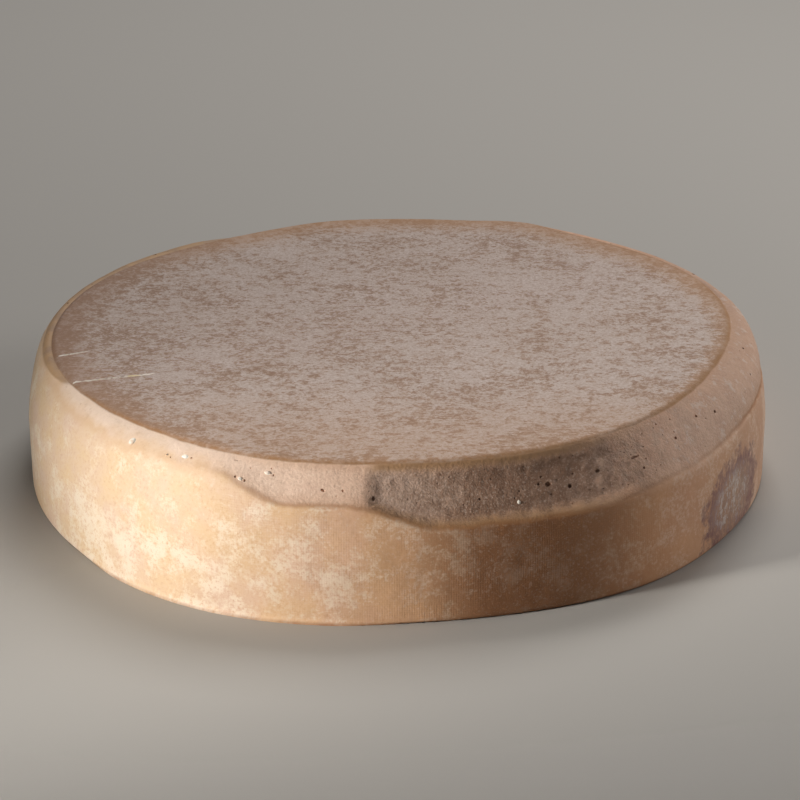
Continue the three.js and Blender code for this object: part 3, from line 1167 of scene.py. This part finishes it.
def wall_colour(place, threads, leftward):
    """The ground with its bloom, pale and deep flecks, and a brown line at the foot."""
    slow = noise(place, size=55, detail=2)
    fine = noise(place, size=1.4, detail=4, roughness=0.75)
    browned_and_shaded = attribute(place, "browned_and_shaded")
    ground = wall_ground(place, slow, leftward, browned_and_shaded)
    bloom = wall_bloom(place, slow, fine, threads, leftward)
    bloom_share = bloom * leftward.between(*BLOOM_SHARES) * (1 - BLOOM_BROWNED_AND_SHADED_LOSS * browned_and_shaded)
    colour = bloom_share.mix(ground, CREAM)
    pale_flecks = fine.rise(*PALE_FLECK_LEVELS) * leftward.between(*PALE_FLECK_SHARES)
    colour = pale_flecks.mix(colour, CREAM_ROSE)
    deep_flecks = fine.rise(*DEEP_FLECK_LEVELS) * leftward.between(*DEEP_FLECK_SHARES)
    colour = deep_flecks.mix(colour, PEACH_DEEP)
    broken = FOOT_LINE_LEAST + noise(place, size=12).rise(*FOOT_LINE_LEVELS)
    foot_line = axis(place, "Z").rise(*FOOT_LINE_HEIGHTS) * broken
    return foot_line.mix(colour, FOOT_LINE, strength=0.5), bloom


threads = weave(place)
wall_paint, bloom = wall_colour(place, threads, leftward)
report("wall")

# %% [markdown]
# ## The band and its dirty patch
#
# The band is pinkish beige and finely pored, cream towards the left, partly as painted light where the low
# key light falls, and greyer towards the right.
# At the front, where the rind is gone, grime has settled into the rough surface: a grey-brown
# patch, grainy below a millimetre, with a tan strip between it and the rim and another between it
# and the ledge. Where band and wall meet, the rind was squeezed into a crease, which shows as a
# thin amber line. Where the ledge is rounded the line is broad and faint.

# %% Band colour
BAND = paint(224, 178, 148)
BAND_ROSE = paint(212, 162, 132)
BAND_CREAM = paint(253, 230, 210)
BAND_GREY = paint(184, 154, 134)
BAND_CHALK = paint(216, 200, 188)
BAND_TAN = paint(190, 142, 102)
RIM_SHADE_BROWN = paint(158, 124, 94)
CREASE_AMBER = paint(164, 112, 68)
SOFT_AMBER = paint(224, 180, 130)
DIRT = paint(210, 181, 163)
DIRT_DARK = paint(142, 108, 86)
DIRT_LIGHT = paint(226, 204, 190)
DIRT_TAN = paint(176, 136, 96)
DUSTY_SIDE = (0, 90)
GREY_SIDE = (60, 150)
CLOUD_LEVELS = (0.42, 0.6)
GREY_FLECK_LEVELS = (0.5, 0.66)
GREY_FLECK_SHARES = (0.45, 0.1)
CREAM_FLECK_LEVELS = (0.47, 0.32)
DUST_LEVELS = (0.48, 0.6)
DUST_SHARE = 0.6
GREY_SIDE_SHARE = 0.65
CHALK_LEVELS = (0.54, 0.66)
CLOUDS_IN_CHALK = 0.4
STRIP_WANDER = 3
RIM_STRIP = (7, 2)
LEDGE_STRIP = (-5, -1)


def tan_strips(rim_mm, ledge_mm, clouds, crisp):
    """1 in the strips along the rim and along the ledge, on the crisp stretch alone."""
    by_rim = (rim_mm + STRIP_WANDER * clouds.centred()).rise(*RIM_STRIP)
    by_ledge = (ledge_mm + STRIP_WANDER * clouds.centred()).rise(*LEDGE_STRIP)
    return (by_rim | by_ledge) * crisp


def band_colour(place, rim_mm, ledge_mm, crisp, leftward):
    """Pinkish beige, clouded, cream to the left (partly painted light), chalky in spots, tan above and
    below the dirt.
    """
    clouds = noise(place, size=8, detail=4, roughness=0.6)
    fine = noise(place, size=1.1, detail=4, roughness=0.75)
    colour = clouds.rise(*CLOUD_LEVELS).mix(BAND, BAND_ROSE)
    # Partly the rind's own cream, partly painted light: the band is paler towards the left, where the key
    # light falls.
    colour = leftward.mix(colour, BAND_CREAM, strength=0.85)
    grey_flecks = fine.rise(*GREY_FLECK_LEVELS) * leftward.between(*GREY_FLECK_SHARES)
    colour = grey_flecks.mix(colour, BAND_GREY)
    colour = fine.rise(*CREAM_FLECK_LEVELS).mix(colour, BAND_CREAM, strength=0.5)
    rightward = axis(place, "X").rise(*GREY_SIDE)
    dusty = axis(place, "X").rise(*DUSTY_SIDE) * noise(place, size=11).rise(*DUST_LEVELS)
    colour = (dusty * DUST_SHARE | rightward * GREY_SIDE_SHARE).mix(colour, BAND_GREY)
    chalky = noise(place, size=5, detail=5, roughness=0.7) + CLOUDS_IN_CHALK * clouds.centred()
    colour = (chalky.rise(*CHALK_LEVELS) * rightward).mix(colour, BAND_CHALK, strength=0.6)
    strips = tan_strips(rim_mm, ledge_mm, clouds, crisp)
    colour = strips.mix(colour, BAND_TAN, strength=0.25)
    return (strips * attribute(place, "grimy")).mix(colour, DIRT_TAN, strength=0.9)


band_paint = band_colour(place, rim_mm, ledge_mm, crisp, leftward)
report("band")

# %% Dirt colour
DIRT_RAGGEDNESS = 1.8
DIRT_EDGE = (0.0, 1.0)
MOTTLE_RANGE = (0.25, 0.75)
MOTTLE_LEVELS = (0.36, 0.7)
GAP_SHADE_IN_MOTTLE = 0.16
LIGHT_GRAIN_LEVELS = (0.51, 0.66)
DARK_GRAIN_LEVELS = (0.48, 0.34)


def dirt_cover(place):
    """The dirty stretch with a soft ragged edge: its own strength moved up and down by noise."""
    ragged = noise(place, size=4.5, detail=5, roughness=0.75).centred()
    return (attribute(place, "dirt") + DIRT_RAGGEDNESS * ragged).rise(*DIRT_EDGE)


def dirt_colour(place):
    """Grey-brown grime, mottled over several millimetres and grainy below one, and painted darker in its
    middle as shade where the key light falls off.
    """
    mottle = noise(place, size=4.5, detail=4, roughness=0.6)
    grain = noise(place, size=0.9, detail=4, roughness=0.75)
    # Painted shade: the middle of the dirty patch, where the key light falls off, is made darker.
    painted_gap_shade = attribute(place, "browned_and_shaded") * GAP_SHADE_IN_MOTTLE
    colour = (mottle.between(*MOTTLE_RANGE) + painted_gap_shade).rise(*MOTTLE_LEVELS).mix(DIRT, DIRT_DARK)
    colour = grain.rise(*LIGHT_GRAIN_LEVELS).mix(colour, DIRT_LIGHT, strength=0.6)
    return grain.rise(*DARK_GRAIN_LEVELS).mix(colour, DIRT_DARK, strength=0.6)


dirt = dirt_cover(place)
band_paint = dirt.mix(band_paint, dirt_colour(place), strength=0.9)
colour = on_wall.mix(band_paint, wall_paint)
# Painted shade: the left stretch of band that the key light misses is mixed towards brown.
colour = rim_shade.mix(colour, RIM_SHADE_BROWN, strength=0.85)
report("dirt")

# %% Crease between band and wall
# A line is its middle and half its width in mm.
CREASE_LINE = (-0.3, 1.6)
CREASE_WANDER = 2.4
CREASE_SHARES = (0.3, 1)
CREASE_FRONT = (-110, -40)
CREASE_FRONT_SHARE = 0.55
CREASE_RIGHT = (120, 150)
CREASE_RIGHT_SHARE = 0.3
SOFT_CREASE_LINE = (0.5, 4)
SOFT_CREASE_WANDER = 9


def crease_share(place, ledge_mm, edge_wander, crisp):
    """The thin line at the ledge, stronger where the ledge is crisp, absent on the far left."""
    line = (ledge_mm + CREASE_WANDER * edge_wander).line(*CREASE_LINE) * crisp.between(*CREASE_SHARES)
    front = CREASE_FRONT_SHARE * axis(place, "X").rise(*CREASE_FRONT)
    return line * (front + CREASE_RIGHT_SHARE * axis(place, "X").rise(*CREASE_RIGHT))


colour = crease_share(place, ledge_mm, edge_wander, crisp).mix(colour, CREASE_AMBER)
soft_line = (ledge_mm + SOFT_CREASE_WANDER * edge_wander).line(*SOFT_CREASE_LINE)
colour = (soft_line * (1 - crisp) * leftward).mix(colour, SOFT_AMBER, strength=0.45)
colour = on_top.mix(colour, top_paint)
report("crease")

# %% [markdown]
# ## The faded dye mark
#
# On the right of the wall there is a faded oval of violet dye: a soft ring with a greyer middle
# and pale flecks. It is a plain oval with nothing written in it. Its own coordinates are the
# attribute with millimetres round the wall and up it, so the oval follows the curve of the wall.

# %% Dye mark
MARK_HALF_WIDTH = 27
MARK_HALF_HEIGHT = 19
DYE = paint(131, 87, 87)
DYE_GREY = paint(131, 107, 101)
DYE_FLECK = paint(222, 212, 206)
STREAK_STRETCH = (1, 1, 0.5)
MARK_WANDER = 1.6
MARK_EDGE = (1.2, 0.8)
RING_EDGE = (0.45, 0.85)
FLECKED_EDGE = (0.95, 0.5)
STREAK_LEVELS = (0.38, 0.6)
GREY_SHARES = (0.35, 0.7)
DYE_SHARES = (0.35, 0.85)
FLECK_LEVELS = (0.52, 0.66)
WANDER_IN_FLECKS = 0.8
UPPER_LEFT_IN_FLECKS = 0.1


def dye_mark(place, colour):
    """An oval worn thin by noise: violet near its edge, grey inside, flecked with pale spots."""
    from_middle = attribute(place, "mark_place", "Vector")
    across = axis(from_middle, "X") * (1 / MARK_HALF_WIDTH)
    upward = axis(from_middle, "Y") * (1 / MARK_HALF_HEIGHT)
    share = place.math("SQRT", across * across + upward * upward)
    wander = noise(place, size=7, detail=5, roughness=0.7).centred()
    streaks = noise(stretched(place, STREAK_STRETCH), size=1.6, detail=4, roughness=0.7)
    inside = (share + MARK_WANDER * wander).rise(*MARK_EDGE)
    ring = inside * (share + MARK_WANDER * wander).rise(*RING_EDGE)
    inked = streaks.rise(*STREAK_LEVELS)
    colour = (inside * inked.between(*GREY_SHARES)).mix(colour, DYE_GREY)
    colour = (ring * inked.between(*DYE_SHARES)).mix(colour, DYE)
    upper_left = UPPER_LEFT_IN_FLECKS * (upward - across)
    flecks = (streaks + WANDER_IN_FLECKS * wander + upper_left).rise(*FLECK_LEVELS)
    return (flecks * (share + wander).rise(*FLECKED_EDGE)).mix(colour, DYE_FLECK, strength=0.7)


colour = dye_mark(place, colour)
report("dye mark")

# %% [markdown]
# ## Pits and scratches in the material
#
# The pits are painted dark inside as shade in the hollows, with crumbs of pale fresh paste beside
# some of them. The scratches cut through the film to the paste, so they are pale, with yellower
# flecks, and broken by noise because the film closes over them in places.

# %% Pits, crumbs and scratches
PIT_SHADE = paint(104, 76, 56)
PASTE = paint(255, 250, 238)
SCRATCH_PALE = paint(250, 244, 236)
SCRATCH_YELLOW = paint(252, 240, 200)
CRUMB_EDGE = (1.25, 0.95)
PIT_EDGE = (1.15, 0.8)
SCRATCH_WANDER = 1.6
SCRATCH_EDGE = (0.85, 0.5)
YELLOW_LEVELS = (0.54, 0.6)


def scratched(place, colour):
    """Pale lines along the scratches, with yellower flecks and an edge broken by noise."""
    wander = noise(place, size=2.4).centred()
    scratch = (attribute(place, "scratch_mm") + SCRATCH_WANDER * wander).rise(*SCRATCH_EDGE)
    paste = noise(place, size=3.4).rise(*YELLOW_LEVELS).mix(SCRATCH_PALE, SCRATCH_YELLOW)
    return scratch.mix(colour, paste, strength=0.85)


colour = attribute(place, "crumb").rise(*CRUMB_EDGE).mix(colour, PASTE)
# Painted shade: the inside of each pit is darkened.
colour = attribute(place, "pit").rise(*PIT_EDGE).mix(colour, PIT_SHADE, strength=0.7)
colour = scratched(place, colour)
report("pits and scratches")

# %% [markdown]
# ## Roughness and fine relief
#
# The film is dry and matt, the rest of the rind a little waxy, the grime dull. The finest relief,
# under half a millimetre, is left to a Bump node, whose height is worked out in millimetres:
# threads and grain on the wall, the film's thickness on the top, grain on band and dirty patch.

# %% Roughness
RIND_ROUGHNESS = 0.6
FILM_ROUGHNESS = 0.16
BARE_ROUGHNESS = 0.06
BLOOM_ROUGHNESS = 0.06
DIRT_ROUGHNESS = 0.2

side = 1 - on_top
roughness = RIND_ROUGHNESS + FILM_ROUGHNESS * on_top - BARE_ROUGHNESS * bare_film * on_top
roughness = roughness + BLOOM_ROUGHNESS * bloom * on_wall
roughness = roughness + DIRT_ROUGHNESS * dirt * side * (1 - on_wall)
report("roughness")

# %% Fine heights in mm and the finished material
FILM_THICKNESS = 0.05
FILM_GRAIN = 0.05
THREAD_HEIGHT = 0.022
WEAVE_LEVELS = (0.35, 0.6)
WALL_GRAIN = 0.16
BAND_GRAIN = 0.3
DIRT_GRAIN = 0.25

film_height = (1 - bare_film) * FILM_THICKNESS + FILM_GRAIN * noise(place, size=0.9)
wall_height = THREAD_HEIGHT * threads * noise(place, size=20).rise(*WEAVE_LEVELS)
wall_height = wall_height + WALL_GRAIN * noise(place, size=3, detail=5, roughness=0.6)
band_height = BAND_GRAIN * noise(place, size=1.1, detail=4, roughness=0.6)
band_height = band_height + DIRT_GRAIN * dirt * noise(place, size=0.8, detail=4)
fine_height = on_top * film_height + on_wall * side * wall_height + (1 - on_wall) * side * band_height

bump = place.node("ShaderNodeBump", {}, {"Height": fine_height, "Distance": MM, "Strength": 1.0})
finish = {"Base Color": colour, "Roughness": roughness, "Normal": bump}
surface = place.node("ShaderNodeBsdfPrincipled", {}, finish)
place.node("ShaderNodeOutputMaterial", {}, {"Surface": surface})
wheel.data.materials.clear()
wheel.data.materials.append(rind)
report("finished rind")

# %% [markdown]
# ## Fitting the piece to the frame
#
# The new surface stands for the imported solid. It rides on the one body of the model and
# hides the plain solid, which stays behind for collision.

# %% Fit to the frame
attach(wheel, "root")
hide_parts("wheel")

# %% [markdown]
# ## The camera
#
# The camera stands where the photograph's camera stood: about a metre away, looking down by 22
# degrees, with a long lens, so that the ellipse of the rim has the same shape.

# %% Camera
CAMERA_DISTANCE = 1.0333
CAMERA_ELEVATION = math.radians(22.44)
CAMERA_ROLL = math.radians(-0.42)
CAMERA_TARGET = Vector((0.0021, 0, 0.0256))
FOCAL_LENGTH = 105.5
SENSOR_WIDTH = 36


def look_from(elevation, roll, distance, target):
    """A camera matrix: back along the line of sight, then rolled about it."""
    back = Vector((0, -math.cos(elevation), math.sin(elevation)))
    level = Vector((1, 0, 0))
    upward = back.cross(level)
    right = level * math.cos(roll) + upward * math.sin(roll)
    turned = Matrix((right, back.cross(right), back)).transposed().to_4x4()
    return Matrix.Translation(target + back * distance) @ turned


camera_data = bpy.data.cameras.new("camera")
camera_data.lens = FOCAL_LENGTH
camera_data.sensor_width = SENSOR_WIDTH
camera = bpy.data.objects.new("camera", camera_data)
camera.matrix_world = look_from(CAMERA_ELEVATION, CAMERA_ROLL, CAMERA_DISTANCE, CAMERA_TARGET)
bpy.context.scene.collection.objects.link(camera)
bpy.context.scene.camera = camera
print("camera at", [round(value, 3) for value in camera.location])

# %% [markdown]
# ## The floor
#
# A plain pale floor, large enough to fill the view. It is stage, not part of the object.

# %% Floor
FLOOR_HALF = 3.0
FLOOR_PALE = paint(182, 179, 174)
FLOOR_ROUGHNESS = 0.9

corners = [(-1, -1, 0), (1, -1, 0), (1, 1, 0), (-1, 1, 0)]
floor = mesh_object("floor", np.array(corners) * FLOOR_HALF / MM, [(0, 1, 2, 3)])
floor_material, floor_place = new_material("floor")
floor_finish = {"Base Color": FLOOR_PALE, "Roughness": FLOOR_ROUGHNESS}
floor_surface = floor_place.node("ShaderNodeBsdfPrincipled", {}, floor_finish)
floor_place.node("ShaderNodeOutputMaterial", {}, {"Surface": floor_surface})
floor.data.materials.append(floor_material)

# %% [markdown]
# ## Soft studio light
#
# The photograph is lit low from the left, by a beam that falls off quickly towards the right. An
# area light with a narrow spread does that here. A large soft one high behind lifts the top face,
# a weak one on the right draws the far end of the wall, and a dim even world fills the rest.

# %% Lights
LEFT_FRONT = Vector((-0.036, -0.156, 0.03))
WIDE_OPEN = 180
WARM = (1, 0.96, 0.9)
LESS_WARM = (1, 0.96, 0.92)
LEAST_WARM = (1, 0.97, 0.94)
WORLD_GREY = (0.6, 0.6, 0.62, 1)
WORLD_STRENGTH = 0.08


def soft_light(name, aim, tint, spread, azimuth, elevation, distance, size, power):
    """A square light, at an azimuth and elevation from the point that it faces."""
    angle, rise = math.radians(azimuth), math.radians(elevation)
    away = Vector((math.cos(angle) * math.cos(rise), math.sin(angle) * math.cos(rise), math.sin(rise)))
    data = bpy.data.lights.new(name, "AREA")
    data.size = size
    data.energy = power
    data.spread = math.radians(spread)
    data.color = tint
    light = bpy.data.objects.new(name, data)
    light.location = aim + away * distance
    light.rotation_euler = away.to_track_quat("Z", "Y").to_euler()
    light.visible_camera = False
    bpy.context.scene.collection.objects.link(light)


soft_light(
    "key", LEFT_FRONT, WARM, spread=27.8,
    azimuth=204, elevation=18, distance=0.8, size=0.12, power=0.205,
)
soft_light(
    "overhead", CAMERA_TARGET, LEAST_WARM, WIDE_OPEN,
    azimuth=75, elevation=55, distance=2.2, size=1, power=24.5,
)
soft_light(
    "right", CAMERA_TARGET, LESS_WARM, WIDE_OPEN,
    azimuth=10, elevation=20, distance=1.2, size=0.5, power=4.6,
)
world = bpy.data.worlds.new("studio")
world.use_nodes = True
backdrop = world.node_tree.nodes["Background"]
backdrop.inputs["Color"].default_value = WORLD_GREY
backdrop.inputs["Strength"].default_value = WORLD_STRENGTH
bpy.context.scene.world = world
bpy.context.scene.view_settings.view_transform = "Standard"
